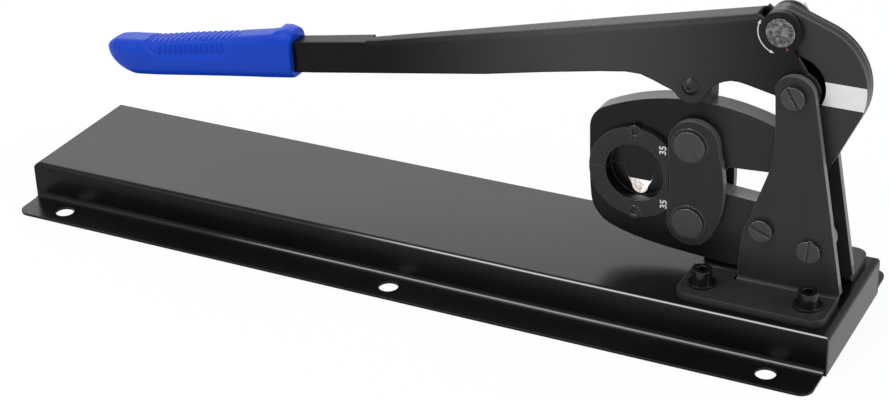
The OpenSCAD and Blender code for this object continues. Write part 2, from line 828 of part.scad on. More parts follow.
// Lever: a channel of folded sheet, open below. Its own frame starts at the dial
// pin: u runs along the lever to the grip and v is up from it
lever_along = [-cos(lever_fall), -sin(lever_fall)];
lever_up = [-sin(lever_fall), cos(lever_fall)];
tail_along = [-cos(lever_fall - tail_bend), -sin(lever_fall - tail_bend)];
tail_up = [-sin(lever_fall - tail_bend), cos(lever_fall - tail_bend)];
bend_u = 265 / 444 * lever_len;
web_start = hook_top_r + 1.2 * slide_play;
stop_at = lever_point(59.4 / 444 * lever_len, -28.3 / 10.9 * lever_top);
lobe_r = 10.3;

function lever_point(u, v) = dial_at + u * lever_along + v * lever_up;
bend_at = lever_point(bend_u, lever_top);
function tail_point(s, w) = bend_at + s * tail_along + w * tail_up;
tail_len = lever_len - bend_u;

// Under edge of the lever from the grip to the fulcrum: shares of its length and top height
LEVER_UNDER_SHARES = [
  [0.426, -1.25], [0.334, -1.33], [0.253, -1.45], [0.218, -1.55], [0.198, -1.74],
  [0.182, -2.12], [0.170, -2.45], [0.159, -2.74]
];
LEVER_ARCH_SHARES = [
  [0.110, -2.94], [0.104, -2.70], [0.097, -2.54], [0.087, -2.44], [0.077, -2.41],
  [0.067, -2.50], [0.057, -2.67]
];

// Under edge of the tail: it runs straight from the grip's mouth to the lever's end
tail_under_s = 42 / 179 * tail_len;
function tail_under(s) =
  -lever_mouth_h + (lever_mouth_h - lever_tail_h) * (s - tail_under_s) / (tail_len - tail_under_s);

// Notch between the round end and the web: shares of the radius round the dial pin
LEVER_NOTCH_SHARES = [[0, 0.6], [0.62, 0.73], [0.74, 0.73]];
fold_start = 10.6 / 12 * dial_boss_r;

module lever_side() {
  polygon(concat(
    [for (s = LEVER_NOTCH_SHARES) lever_point(s[0] * dial_boss_r, s[1] * dial_boss_r)],
    [lever_point(fold_start, lever_top), bend_at, tail_point(tail_len, 0),
     tail_point(tail_len, tail_under(tail_len)), tail_point(tail_under_s, -lever_mouth_h)],
    [for (s = LEVER_UNDER_SHARES) lever_point(s[0] * lever_len, s[1] * lever_top)],
    arc_points(stop_at, lobe_r, 215, 335, 14),
    [for (s = LEVER_ARCH_SHARES) lever_point(s[0] * lever_len, s[1] * lever_top)],
    [fulcrum + fulcrum_boss_r * [cos(195), sin(195)], fulcrum,
     fulcrum + 0.97 * fulcrum_boss_r * [cos(64), sin(64)],
     dial_at + 0.97 * dial_boss_r * [cos(-52), sin(-52)], dial_at]
  ));
}

module lever_outline() {
  union() {
    lever_side();
    disc(dial_at, dial_boss_r);
    disc(fulcrum, fulcrum_boss_r);
  }
}

// Plan of the lever: wide at the head, narrow under the grip
taper_from = lever_point(100 / 444 * lever_len, 0)[0];
taper_to = lever_point(305 / 444 * lever_len, 0)[0];

module lever_plan(inset) {
  wide = lever_w / 2 - inset;
  slim = lever_tail_w / 2 - inset;
  far = tail_point(tail_len + lever_top, 0)[0];
  near = fulcrum[0] + 2 * fulcrum_boss_r;
  translate([0, 0, base_h]) linear_extrude(2 * fulcrum_h) polygon([
    [near, -wide], [taper_from, -wide], [taper_to, -slim], [far, -slim],
    [far, slim], [taper_to, slim], [taper_from, wide], [near, wide]
  ]);
}

// The hollow below the web, and the open end beyond it
module lever_hollow_outline() {
  deep = 5 * lever_top;
  union() {
    polygon([
      lever_point(-deep, lever_top - lever_t), lever_point(bend_u, lever_top - lever_t),
      tail_point(tail_len + over, -lever_t), tail_point(tail_len + over, -deep),
      lever_point(bend_u, -deep), lever_point(-deep, -deep)
    ]);
    polygon([
      lever_point(web_start, -deep), lever_point(web_start, deep),
      lever_point(-deep, deep), lever_point(-deep, -deep)
    ]);
  }
}

// Two stretches of the front fold, from the round end to the bend: each has its start,
// half width, fall, narrowing in plan and length
narrowing = (lever_w - lever_tail_w) / 2 / (taper_from - taper_to);
taper_u = (dial_at[0] - taper_from - lever_top * sin(lever_fall)) / cos(lever_fall);
FOLDS = [
  [lever_point(fold_start, lever_top), lever_w / 2, lever_fall, 0, taper_u - fold_start],
  [lever_point(taper_u, lever_top), lever_w / 2, lever_fall,
   atan(narrowing * cos(lever_fall)), bend_u - taper_u]
];
fold_steps = 4;

// Takes the sharp edge off one stretch, with a short overlap on the next
module fold_cut(f) {
  r = lever_fold_r;
  translate([f[0][0], -f[1], f[0][1]]) rotate([0, -f[2], 0]) rotate([0, 0, -f[3]])
    rotate([0, -90, 0]) rotate([0, 0, 90])
      linear_extrude(f[4] + 1.5 * slide_play) polygon(concat(
        [[-over, -over], [r, -over]], arc_points([r, r], r, 270, 180, fold_steps), [[-over, r]]
      ));
}

module lever_channel() {
  color([0.1, 0.1, 0.11])
  difference() {
    intersection() {
      plate(-lever_y, lever_y) lever_outline();
      lever_plan(0);
    }
    intersection() {
      plate(-lever_y, lever_y) lever_hollow_outline();
      lever_plan(lever_t);
    }
    for (side = [0, 1]) mirror([0, side, 0]) for (f = FOLDS) fold_cut(f);
    cross_bar(fulcrum, fulcrum_r + run_play, -lever_y - over, lever_y + over);
    cross_bar(dial_at, dial_r + run_play, -lever_y - over, -lever_y + lever_t + over);
    cross_bar(dial_at, dial_pin_r + run_play, lever_y - lever_t - over, lever_y + over);
    cross_bar(stop_at, stop_shank_r + shank_play / 2, -lever_y - over, lever_y + over);
  }
}

// Fulcrum bush: keeps the two sides of the lever apart
bush_r = 7.3 / 5 * fulcrum_r;
lever_in_y = lever_y - lever_t;

module fulcrum_bush() {
  color([0.55, 0.5, 0.35])
  difference() {
    cross_bar(fulcrum, bush_r, -lever_in_y, lever_in_y);
    cross_bar(fulcrum, fulcrum_r + run_play, -lever_y, lever_y);
  }
}

// Stop: a rubber block on a button-head screw rests on the crown of the upper jaw
stop_shank_r = 2.5;
stop_head_r = 5.2;
stop_head_h = 2.9;
stop_nut_h = 4;
stop_w = 17;

module stop_bumper() {
  foot_at = [stop_at[0] + 3 / 17 * stop_w, 0];
  crown_z = crown_at[1] + crown_r + 0.35;
  color([0.05, 0.05, 0.05])
  difference() {
    plate(-lever_in_y + run_play, lever_in_y - run_play) polygon([
      [foot_at[0] - stop_w / 2, crown_z], [foot_at[0] + stop_w / 2, crown_z],
      [foot_at[0] + stop_w / 2, stop_at[1]], [foot_at[0] + stop_w / 4, stop_at[1] + stop_w / 3],
      [foot_at[0] - stop_w / 2, stop_at[1] + stop_w / 3]
    ]);
    cross_bar(stop_at, stop_shank_r, -lever_y, lever_y);
  }
}

module stop_screw() {
  color([0.15, 0.15, 0.16])
  difference() {
    union() {
      translate([stop_at[0], -lever_y, stop_at[1]]) rotate([90, 0, 0]) intersection() {
        cylinder(h = stop_head_h, r = stop_head_r);
        translate([0, 0, stop_head_h - 6.6]) sphere(r = 6.6);
      }
      cross_bar(stop_at, stop_shank_r, -lever_y - over, lever_y + stop_nut_h + over / 2);
    }
    cross_hex(stop_at, stop_head_h + shank_play, -lever_y - 2 * stop_head_h,
              -lever_y - stop_head_h / 3);
  }
}

module stop_nut() {
  color([0.3, 0.3, 0.31])
  difference() {
    cross_hex(stop_at, 8, lever_y, lever_y + stop_nut_h);
    cross_bar(stop_at, stop_shank_r, lever_y - over, lever_y + stop_nut_h + over);
  }
}

// Dial: its head turns in the front of the lever, its pin carries the hook
dial_proud = 0.5;
dial_washer_t = 1.2;
back_nut_h = 6;
back_nut_flats = 17;
dial_back_y = lever_y + slide_play;

module adjust_dial() {
  color([0.42, 0.42, 0.43])
  union() {
    cross_bar(dial_at, dial_r, -lever_y - dial_proud, -lever_in_y);
    cross_bar(dial_at, dial_pin_r, -lever_y, dial_back_y + dial_washer_t + back_nut_h + over);
  }
}

module dial_washer() {
  color([0.35, 0.35, 0.36])
  difference() {
    cross_bar(dial_at, back_nut_flats / 2, dial_back_y, dial_back_y + dial_washer_t);
    cross_bar(dial_at, dial_pin_r, dial_back_y - over, dial_back_y + dial_washer_t + over);
  }
}

module dial_back_nut() {
  y0 = dial_back_y + dial_washer_t;
  color([0.3, 0.3, 0.31])
  difference() {
    cross_hex(dial_at, back_nut_flats, y0, y0 + back_nut_h);
    cross_bar(dial_at, dial_pin_r, y0 - over, y0 + back_nut_h + over);
  }
}

// Grip: a moulded sleeve with a raised guard next to the lever. Each station gives
// shares of the grip's length, of its height for the top and the bottom, measured from
// the grip's middle line, and of its half width
GRIP_SHARES = [
  [0.000, 0.489, -0.556, 0.867], [0.021, 0.556, -0.563, 0.883], [0.045, 0.637, -0.563, 0.900],
  [0.059, 0.626, -0.559, 0.908], [0.094, 0.552, -0.556, 0.917], [0.139, 0.533, -0.552, 0.925],
  [0.244, 0.511, -0.533, 0.933], [0.383, 0.489, -0.515, 0.950], [0.509, 0.474, -0.500, 0.967],
  [0.627, 0.448, -0.489, 0.983], [0.725, 0.430, -0.478, 0.992], [0.787, 0.437, -0.467, 0.992],
  [0.850, 0.456, -0.448, 0.983], [0.892, 0.459, -0.400, 0.942], [0.930, 0.448, -0.304, 0.858],
  [0.955, 0.400, -0.207, 0.758], [0.976, 0.326, -0.104, 0.608], [0.991, 0.244, -0.007, 0.417],
  [1.000, 0.170, 0.059, 0.217]
];
grip_cover = 124 / 143.5 * grip_len;
grip_start = tail_len - grip_cover;
grip_mid = -8.9 / 27 * grip_h;
mouth_lean = 0.15;
lean_end = 0.21;

// Points of one ring of the grip, a rounded box in section. The rings near the mouth
// lean, so that the mouth stands upright at rest
function grip_ring(s) = [
  for (k = [0:grip_sides - 1])
    let (a = 360 * k / grip_sides, c = cos(a), d = sin(a),
         across = sign(c) * pow(abs(c), 0.6) * s[3] * grip_w / 2,
         lift = ((s[1] + s[2]) + sign(d) * pow(abs(d), 0.6) * (s[1] - s[2])) * grip_h / 2,
         lean = mouth_lean * lift * pow(max(0, 1 - s[0] / lean_end), 2),
         p = tail_point(grip_start + s[0] * grip_len - lean, grip_mid + lift))
    [p[0], across, p[1]]
];

module grip() {
  rings = len(GRIP_SHARES);
  points = [for (s = GRIP_SHARES) each grip_ring(s)];
  sides = [
    for (i = [0:rings - 2], k = [0:grip_sides - 1]) let (n = (k + 1) % grip_sides)
      each [[i * grip_sides + k, i * grip_sides + n, (i + 1) * grip_sides + n],
            [i * grip_sides + k, (i + 1) * grip_sides + n, (i + 1) * grip_sides + k]]
  ];
  first = [[for (k = [grip_sides - 1:-1:0]) k]];
  last = [[for (k = [0:grip_sides - 1]) (rings - 1) * grip_sides + k]];
  color([0.08, 0.2, 0.75])
  difference() {
    polyhedron(points, concat(sides, first, last), convexity = 4);
    plate(-lever_tail_w / 2 - run_play, lever_tail_w / 2 + run_play) polygon([
      tail_point(grip_start - 4 * over, run_play), tail_point(tail_len + run_play, run_play),
      tail_point(tail_len + run_play, tail_under(tail_len) - run_play),
      tail_point(grip_start - 4 * over, tail_under(grip_start - 4 * over) - run_play)
    ]);
  }
}

base_channel();
front_bracket();
rear_bracket();
foot_screws();
foot_washers();
under_washers();
foot_nuts();
lower_jaw();
jaw_spacers();
clamp_bolts();
clamp_nuts();
fulcrum_bolt();
fulcrum_nut();
lower_die();
lower_die_screw();
front_link_plate();
rear_link_plate();
upper_pin();
lower_pin();
pin_rings();
upper_jaw();
upper_die();
upper_die_screw();
hook_front_plate();
hook_inner_plates();
hook_rear_plate();
hook_pin();
blank_label();
lever_channel();
fulcrum_bush();
grip();
stop_bumper();
stop_screw();
stop_nut();
adjust_dial();
dial_washer();
dial_back_nut();
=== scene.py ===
import bmesh
import bpy
import numpy as np
from mathutils import Matrix


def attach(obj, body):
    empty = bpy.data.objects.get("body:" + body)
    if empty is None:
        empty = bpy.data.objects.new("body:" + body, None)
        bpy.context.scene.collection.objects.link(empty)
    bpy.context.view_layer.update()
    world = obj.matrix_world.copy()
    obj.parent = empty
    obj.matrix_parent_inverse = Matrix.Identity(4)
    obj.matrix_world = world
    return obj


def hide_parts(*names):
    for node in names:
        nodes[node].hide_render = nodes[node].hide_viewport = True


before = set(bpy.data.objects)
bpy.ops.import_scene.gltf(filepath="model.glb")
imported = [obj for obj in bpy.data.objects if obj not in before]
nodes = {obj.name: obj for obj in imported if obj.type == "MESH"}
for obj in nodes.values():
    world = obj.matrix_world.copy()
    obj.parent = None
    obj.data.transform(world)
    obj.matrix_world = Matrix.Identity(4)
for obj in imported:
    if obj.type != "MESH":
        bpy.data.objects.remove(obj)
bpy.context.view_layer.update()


# The folded steel base: one sheet bent into a raised channel with a flange along each
# side, in a satin black powder coat with a fine orange peel. Its sharp edges carry a
# paler painted highlight, and two lines on the front folds are painted highlights too.
class Wire:
    """A shader socket. +, -, * and ** add Math nodes, and a number may stand on either
    side of +, - and *."""

    def __init__(self, shading, socket):
        self.shading = shading
        self.socket = socket

    def _math(self, operation, first, second):
        return self.shading.node("ShaderNodeMath", {"operation": operation}, [first, second])

    def __add__(self, other):
        return self._math("ADD", self, other)

    def __radd__(self, other):
        return self._math("ADD", other, self)

    def __sub__(self, other):
        return self._math("SUBTRACT", self, other)

    def __rsub__(self, other):
        return self._math("SUBTRACT", other, self)

    def __mul__(self, other):
        return self._math("MULTIPLY", self, other)

    def __rmul__(self, other):
        return self._math("MULTIPLY", other, self)

    def __pow__(self, other):
        return self._math("POWER", self, other)

    def absolute(self):
        return self._math("ABSOLUTE", self, 0.0)

    def larger(self, other):
        return self._math("MAXIMUM", self, other)


class Shading:
    """A node tree, with the one method that adds its nodes."""

    def __init__(self, tree):
        self.tree = tree

    def feed(self, socket, value):
        """Links a wire to a socket, or sets the socket. A colour needs no alpha."""
        if isinstance(value, Wire):
            self.tree.links.new(value.socket, socket)
        elif isinstance(value, tuple) and len(value) < len(socket.default_value):
            socket.default_value = (*value, 1.0)
        else:
            socket.default_value = value

    def node(self, kind, settings=None, inputs=None, output=0):
        """Adds a node: its settings first, then values or wires by socket number or name."""
        made = self.tree.nodes.new(kind)
        for word, value in (settings or {}).items():
            if word == "stops":
                ramp = made.color_ramp
                while len(ramp.elements) < len(value):
                    ramp.elements.new(0.5)
                for stop, (place, colour) in zip(ramp.elements, value):
                    stop.position = place
                    stop.color = (*colour, 1.0)
            else:
                setattr(made, word, value)
        pairs = inputs.items() if isinstance(inputs, dict) else enumerate(inputs or [])
        for key, value in pairs:
            self.feed(made.inputs[key], value)
        return Wire(self, made.outputs[output])


class Finish(Shading):
    """A material for this tool. Shine is the main shader's specular level, and the other
    keywords are more of its plain values."""

    bevel_samples = 6
    edge_turn = (0.02, 0.25)  # how far a rounded edge turns the normal: start and full
    cut_face_lean = (0.6, 0.3)  # the Y share of a cut face's normal: start and full

    def __init__(self, name, shine=0.5, **plain):
        self.material = bpy.data.materials.new(name)
        self.material.use_nodes = True
        super().__init__(self.material.node_tree)
        self.shader = self.tree.nodes["Principled BSDF"]
        self.put("Specular IOR Level", shine)
        for word, value in plain.items():
            self.put(word.title(), value)

    def put(self, socket, value):
        """Sets or links one socket of the main shader."""
        self.feed(self.shader.inputs[socket], value)

    def place(self):
        """Object coordinates, in metres."""
        return self.node("ShaderNodeTexCoord", output="Object")

    def axes(self):
        """The x, y and z of the object coordinates as three wires."""
        split = self.node("ShaderNodeSeparateXYZ", None, [self.place()])
        return [Wire(self, out) for out in split.socket.node.outputs]

    def noise(self, scale, detail=3.0, roughness=0.5, at=None):
        """Noise from 0 to 1 at so many cells per metre."""
        return self.node("ShaderNodeTexNoise", None,
                         {"Vector": at or self.place(), "Scale": scale, "Detail": detail,
                          "Roughness": roughness})

    def stretched(self, x, y, z):
        """Object coordinates scaled apart along the axes."""
        return self.node("ShaderNodeMapping", None, {"Vector": self.place(), "Scale": (x, y, z)})

    def blend(self, amount, first, second):
        """The first colour where amount is 0, the second where it is 1."""
        # a Mix node's colours are its sockets 6 and 7, and their blend is its output 2
        return self.node("ShaderNodeMix", {"data_type": "RGBA"},
                         {0: amount, 6: first, 7: second}, 2)

    def step(self, value, low, high):
        """A smooth rise from 0 at low to 1 at high. With low above high it is a fall."""
        return self.node("ShaderNodeMapRange", {"interpolation_type": "SMOOTHSTEP"},
                         {"Value": value, "From Min": low, "From Max": high,
                          "To Min": 0.0, "To Max": 1.0})

    def rounded(self, radius):
        """The normal with every edge rounded to the radius."""
        return self.node("ShaderNodeBevel", {"samples": self.bevel_samples},
                         {"Radius": radius}, "Normal")

    def edge(self, radius):
        """1 along sharp edges within the radius, 0 on open faces."""
        plain = self.node("ShaderNodeNewGeometry", output="Normal")
        dot = self.node("ShaderNodeVectorMath", {"operation": "DOT_PRODUCT"},
                        [self.rounded(radius), plain], "Value")
        return self.step(1.0 - dot, *self.edge_turn)

    def rim(self):
        """1 on faces that run across the tool, as the cut edges of upright plates do."""
        normal = self.node("ShaderNodeNewGeometry", output="Normal")
        across = self.node("ShaderNodeSeparateXYZ", None, [normal], "Y")
        return self.step(across.absolute(), *self.cut_face_lean)

    def relief(self, height, distance, strength, radius=None):
        """Bump linked to the shader, on top of rounded edges if there is a radius."""
        inputs = {"Strength": strength, "Distance": distance, "Height": height}
        if radius:
            inputs["Normal"] = self.rounded(radius)
        self.put("Normal", self.node("ShaderNodeBump", None, inputs))


def dress(finish, *names):
    """Gives CAD nodes a finish in all their slots."""
    for name in names:
        for slot in nodes[name].material_slots:
            slot.material = finish.material


POWDER_DARK, POWDER_PALE = (0.0035, 0.0035, 0.0038), (0.007, 0.007, 0.0075)
POWDER_EDGE_HIGHLIGHT, FOLD_HIGHLIGHT_PAINT = (0.11, 0.11, 0.115), (0.6, 0.6, 0.62)
# Y and Z of a fold's painted highlight line, then where along X it starts and is full
TOP_FOLD = ((-0.0486, 0.02430), (-0.06, 0.03))
FLANGE_FOLD = ((-0.05117, 0.00267), (-0.14, -0.06))
FOLD_LINE_HALF = 0.00045

powder = Finish("black_powder_coat", shine=0.14)
peel = powder.noise(900.0, detail=2.0, roughness=0.55)
cloud = powder.noise(9.0, detail=4.0, roughness=0.6)


def pale_line(line, stretch):
    """The mask of a painted highlight: 1 near a line along X and 0 away from it, by the
    distance from the line: the root of the summed squares of the Y and Z distances."""
    x, y, z = powder.axes()
    away = ((y - line[0]) ** 2.0 + (z - line[1]) ** 2.0) ** 0.5
    near = powder.step(away, FOLD_LINE_HALF * 1.5, FOLD_LINE_HALF * 0.6)
    return near * powder.step(x, *stretch)


# two painted highlights along the front folds, fading in along X towards the head
painted_highlight_lines = pale_line(*TOP_FOLD) * 0.9 + pale_line(*FLANGE_FOLD) * 0.55
colour = powder.blend(powder.step(cloud, 0.3, 0.75), POWDER_DARK, POWDER_PALE)
# the sharp edges are painted paler: a painted highlight
colour = powder.blend(powder.edge(radius=0.0006) * 0.5, colour, POWDER_EDGE_HIGHLIGHT)
powder.put("Base Color", powder.blend(painted_highlight_lines, colour, FOLD_HIGHLIGHT_PAINT))
powder.put("Roughness", 0.21 + cloud * 0.09)
powder.relief(peel, distance=0.00002, strength=0.3, radius=0.0009)
dress(powder, "base_channel")


# The two brackets: upright plates, each with a foot bent outwards and screwed to the
# base. They are blackened and lightly brushed upright, with pale sheared edges and a
# painted highlight along their sharp edges.
FOOT_TOP = 0.036
RIM_RISE = 0.003


def flat_plate(name, dark, pale, sheared, corner, rim_from=0.0, seam_at=None):
    """Blackened sheet with a grain from the grey dark to the grey pale. Cut faces above
    rim_from have the grey sheared, and sharp edges a painted highlight in the grey
    corner. With seam_at, that painted highlight is on lines at this distance from the
    middle plane and not on the edges."""
    made = Finish(name, shine=0.2)
    grain = made.noise(160.0, 4.0, 0.6, made.stretched(1.0, 1.0, 0.12))
    y, z = made.axes()[1:]
    cut_face = made.rim() * made.step(z, rim_from, rim_from + RIM_RISE)
    if seam_at:
        edge_or_seam_highlight = made.step((y.absolute() - seam_at).absolute(), 0.0005, 0.0002) * made.rim()
    else:
        edge_or_seam_highlight = made.edge(radius=0.0004) * 0.6
    sheet = made.blend(grain, (dark, dark, dark * 1.06), (pale, pale, pale * 1.06))
    sheet = made.blend(cut_face, sheet, (sheared, sheared, sheared))
    # a painted highlight in the grey corner, on the sharp edges or on the seam lines
    made.put("Base Color", made.blend(edge_or_seam_highlight, sheet, (corner, corner, corner)))
    made.put("Roughness", 0.27 + grain * 0.12)
    made.relief(grain, distance=0.00002, strength=0.3, radius=0.0006)
    return made


dress(flat_plate("black_bracket", dark=0.020, pale=0.032, sheared=0.12, corner=0.2,
                 rim_from=FOOT_TOP), "front_bracket", "rear_bracket")


# The small screws of the dies and of the stop, and the rings round the link pins:
# blackened steel, mottled, with a painted highlight along the edges.
BLACKENED_DARK, BLACKENED_PALE = (0.014, 0.014, 0.015), (0.035, 0.035, 0.037)
BLACKENED_EDGE_HIGHLIGHT = (0.4, 0.4, 0.4)

blackened = Finish("blackened_steel", metallic=0.6)
spots = blackened.noise(420.0)
colour = blackened.blend(spots, BLACKENED_DARK, BLACKENED_PALE)
# a painted highlight along the sharp edges
blackened.put("Base Color", blackened.blend(blackened.edge(radius=0.0003), colour,
                                            BLACKENED_EDGE_HIGHLIGHT))
blackened.put("Roughness", 0.18 + spots * 0.2)
blackened.relief(spots, distance=0.00002, strength=0.3, radius=0.0004)
dress(blackened, "upper_die_screw", "lower_die_screw", "stop_screw", "pin_rings")


# The socket screws and washers that hold the feet to the base, and the bush on the
# fulcrum bolt: smooth steel with a glossy black finish.
GLOSSY_DARK, GLOSSY_PALE = (0.003, 0.003, 0.0034), (0.009, 0.009, 0.010)
GLOSSY_EDGE_HIGHLIGHT = (0.09, 0.09, 0.09)

glossy = Finish("glossy_black_steel", shine=0.35, roughness=0.16)
colour = glossy.blend(glossy.noise(420.0), GLOSSY_DARK, GLOSSY_PALE)
# a faint painted highlight along the sharp edges
glossy.put("Base Color", glossy.blend(glossy.edge(radius=0.0003), colour, GLOSSY_EDGE_HIGHLIGHT))
glossy.relief(glossy.noise(500.0), distance=0.00001, strength=0.2, radius=0.0005)
dress(glossy, "foot_screws", "foot_washers", "fulcrum_bush")


# The plated nuts and washers under the base, behind the stop and behind the dial:
# steel in bright zinc with a cloudy bloom.
ZINC_DULL, ZINC_BRIGHT = (0.42, 0.43, 0.45), (0.66, 0.67, 0.68)

plated = Finish("bright_zinc", metallic=1.0)
bloom = plated.noise(300.0, detail=4.0, roughness=0.6)
plated.put("Base Color", plated.blend(bloom, ZINC_DULL, ZINC_BRIGHT))
plated.put("Roughness", 0.25 + bloom * 0.25)
plated.relief(bloom, distance=0.00002, strength=0.3, radius=0.0003)
dress(plated, "under_washers", "foot_nuts", "stop_nut", "dial_washer", "dial_back_nut")


# The turned bolts, link pins and spacers, with the nuts of the big bolts: gunmetal
# faces, faintly mottled, with bright rims that are painted highlights.
GUNMETAL_DARK, GUNMETAL_PALE = (0.045, 0.045, 0.047), (0.080, 0.080, 0.083)
GUNMETAL_RIM_HIGHLIGHT = (0.5, 0.5, 0.5)

gunmetal = Finish("gunmetal", metallic=0.85)
mottle = gunmetal.noise(260.0, detail=4.0, roughness=0.6)
colour = gunmetal.blend(mottle, GUNMETAL_DARK, GUNMETAL_PALE)
# a painted highlight along the rims
gunmetal.put("Base Color", gunmetal.blend(gunmetal.edge(radius=0.00035), colour,
                                          GUNMETAL_RIM_HIGHLIGHT))
gunmetal.put("Roughness", 0.3 + mottle * 0.22)
gunmetal.relief(mottle, distance=0.00003, strength=0.35, radius=0.0004)
dress(gunmetal, "clamp_bolts", "clamp_nuts", "fulcrum_bolt", "fulcrum_nut", "jaw_spacers",
      "upper_pin", "lower_pin", "hook_pin")


# The two jaws: thick blackened plates, paler along the rim, with painted light making
# their arms paler and a painted highlight along their edges. Their round heels are
# rubbed bright where they roll.
JAW_DARK, JAW_PALE = (0.003, 0.003, 0.0033), (0.008, 0.008, 0.0085)
JAW_ARM_PAINTED_LIGHT, JAW_RIM = (0.024, 0.024, 0.025), (0.20, 0.20, 0.20)
JAW_EDGE_HIGHLIGHT, ROLLED_HEEL = (0.5, 0.5, 0.5), (0.45, 0.44, 0.42)
ARM_PAINTED_LIGHT_STRETCH = (0.175, 0.2)  # where along X the arm's painted light starts and is full
HEELS_X, HEELS_Z = 0.1815, 0.082
# distances from the heels' middle where the rubbing ends and is full
HEEL_WIDE, HEEL_HIGH = (0.0115, 0.0095), (0.0045, 0.0025)

jaw = Finish("blackened_jaw", shine=0.18)
x, _, z = jaw.axes()
brush = jaw.noise(220.0, 4.0, 0.6, jaw.stretched(0.15, 1.0, 1.0))
heel = (jaw.step((x - HEELS_X).absolute(), *HEEL_WIDE)
        * jaw.step((z - HEELS_Z).absolute(), *HEEL_HIGH))
colour = jaw.blend(brush, JAW_DARK, JAW_PALE)
# painted light: the jaws' arms are painted paler
colour = jaw.blend(jaw.step(x, *ARM_PAINTED_LIGHT_STRETCH), colour, JAW_ARM_PAINTED_LIGHT)
colour = jaw.blend(jaw.rim(), colour, JAW_RIM)
# a painted highlight along the sharp edges
colour = jaw.blend(jaw.edge(radius=0.0004) * 0.7, colour, JAW_EDGE_HIGHLIGHT)
jaw.put("Base Color", jaw.blend(heel, colour, ROLLED_HEEL))
jaw.put("Metallic", heel * 0.9)
jaw.put("Roughness", 0.24 + brush * 0.12)
jaw.relief(brush, distance=0.00002, strength=0.3, radius=0.0006)
dress(jaw, "upper_jaw", "lower_jaw")


# The dies: blackened tool steel in two halves, each held by a screw, with the crimping
# nest left bright, painted shade making the rest of the mouth black, and a painted
# highlight along the edges. A plain size number is printed on each half of the ring.
DIE_DARK, DIE_PALE = (0.014, 0.014, 0.015), (0.024, 0.024, 0.025)
MOUTH_PAINTED_SHADE, DIE_EDGE_HIGHLIGHT = (0.002, 0.002, 0.002), (0.40, 0.40, 0.40)
NEST_STOPS = [(0.30, (0.25, 0.2, 0.18)), (0.48, (0.75, 0.7, 0.66)), (0.62, (0.95, 0.92, 0.9))]
DIE_X, NEST_Z, MOUTH_Z = 0.1375, 0.0688, 0.08195
# where the bright nest and the painted shade of the mouth end and are full: distances
# from their middles, and for the nest's face a Y
NEST_WIDE, NEST_HIGH, NEST_FACE_Y = (0.0080, 0.0075), (0.0052, 0.0049), (-0.00045, -0.00025)
MOUTH_R = (0.0187, 0.0184)

die = Finish("die_steel", shine=0.25)
x, y, z = die.axes()
speck = die.noise(500.0, detail=4.0, roughness=0.6)
facet = die.noise(240.0, detail=3.0, roughness=0.7)
nest = (die.step((x - DIE_X).absolute(), *NEST_WIDE)
        * die.step((z - NEST_Z).absolute(), *NEST_HIGH) * die.step(y, *NEST_FACE_Y))
# painted shade: the mouth of the dies is painted black
mouth = die.step(((x - DIE_X) ** 2.0 + (z - MOUTH_Z) ** 2.0) ** 0.5, *MOUTH_R)
colour = die.blend(speck, DIE_DARK, DIE_PALE)
colour = die.blend(mouth, colour, MOUTH_PAINTED_SHADE)
# a painted highlight along the sharp edges
colour = die.blend(die.edge(radius=0.00035) * 0.7, colour, DIE_EDGE_HIGHLIGHT)
bright = die.node("ShaderNodeValToRGB", {"stops": NEST_STOPS}, [facet])
die.put("Base Color", die.blend(nest, colour, bright))
die.put("Metallic", nest * 0.85)
die.put("Roughness", 0.32 - nest * 0.07)
die.relief(speck, distance=0.00003, strength=0.35, radius=0.0003)
dress(die, "upper_die", "lower_die")

PRINT_THICKNESS = 0.00006
NUMBER_Y = -0.00953
NUMBER_HEIGHT = 0.0042

white_print = Finish("white_print", roughness=0.6)
white_print.put("Base Color", white_print.blend(
    white_print.noise(900.0), (0.62, 0.62, 0.62), (0.86, 0.86, 0.85)))


def settle(name, mesh, finish, body):
    """An object from a mesh, with its finish and its body."""
    mesh.materials.clear()
    mesh.materials.append(finish.material)
    piece = bpy.data.objects.new(name, mesh)
    bpy.context.scene.collection.objects.link(piece)
    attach(piece, body)
    return piece


def printed(name, word, centre, height, turn, finish, body):
    """A word printed on a face towards -Y: flat letters of that height, turned about Y
    by the angle, with their middle at the centre."""
    curve = bpy.data.curves.new(name, "FONT")
    curve.body = word
    curve.align_x = "CENTER"
    curve.align_y = "CENTER"
    curve.size = height * 1.4  # a figure is 1 / 1.4 of the size of its type
    curve.offset = 0.03 * height
    curve.extrude = PRINT_THICKNESS / 2
    letters = bpy.data.objects.new(name, curve)
    bpy.context.scene.collection.objects.link(letters)
    graph = bpy.context.evaluated_depsgraph_get()
    mesh = bpy.data.meshes.new_from_object(letters.evaluated_get(graph))
    bpy.data.objects.remove(letters)
    flat = np.empty(len(mesh.vertices) * 3)
    mesh.vertices.foreach_get("co", flat)
    flat = flat.reshape(-1, 3)
    middle = (flat.min(axis=0) + flat.max(axis=0)) / 2
    across, up, out = (flat - middle).T
    c, s = np.cos(turn), np.sin(turn)
    placed = np.stack([centre[0] + c * across - s * up, centre[1] - out,
                       centre[2] + s * across + c * up], axis=1)
    mesh.vertices.foreach_set("co", placed.ravel())
    mesh.name = name
    settle(name, mesh, finish, body)


for half, number_x, number_z, body in (("upper", 0.1548, 0.0998, "upper_jaw"),
                                       ("lower", 0.1558, 0.0650, "frame")):
    printed("size_number_" + half, "35", (number_x, NUMBER_Y, number_z), NUMBER_HEIGHT,
            np.radians(90), white_print, body)


# The side links: two waisted steel plates, in front of the jaws and behind them, that
# carry the link pins. They are blackened, with paler cut faces and a painted highlight
# along their edges.
dress(flat_plate("black_link", dark=0.014, pale=0.024, sheared=0.12, corner=0.5),
      "front_link_plate", "rear_link_plate")


# The hook: four stamped plates side by side, blackened, with black cut faces and
# painted highlights on the lines where the outer plates meet the inner ones. A plain
# white label lies across it.
HOOK_SEAM = 0.00295

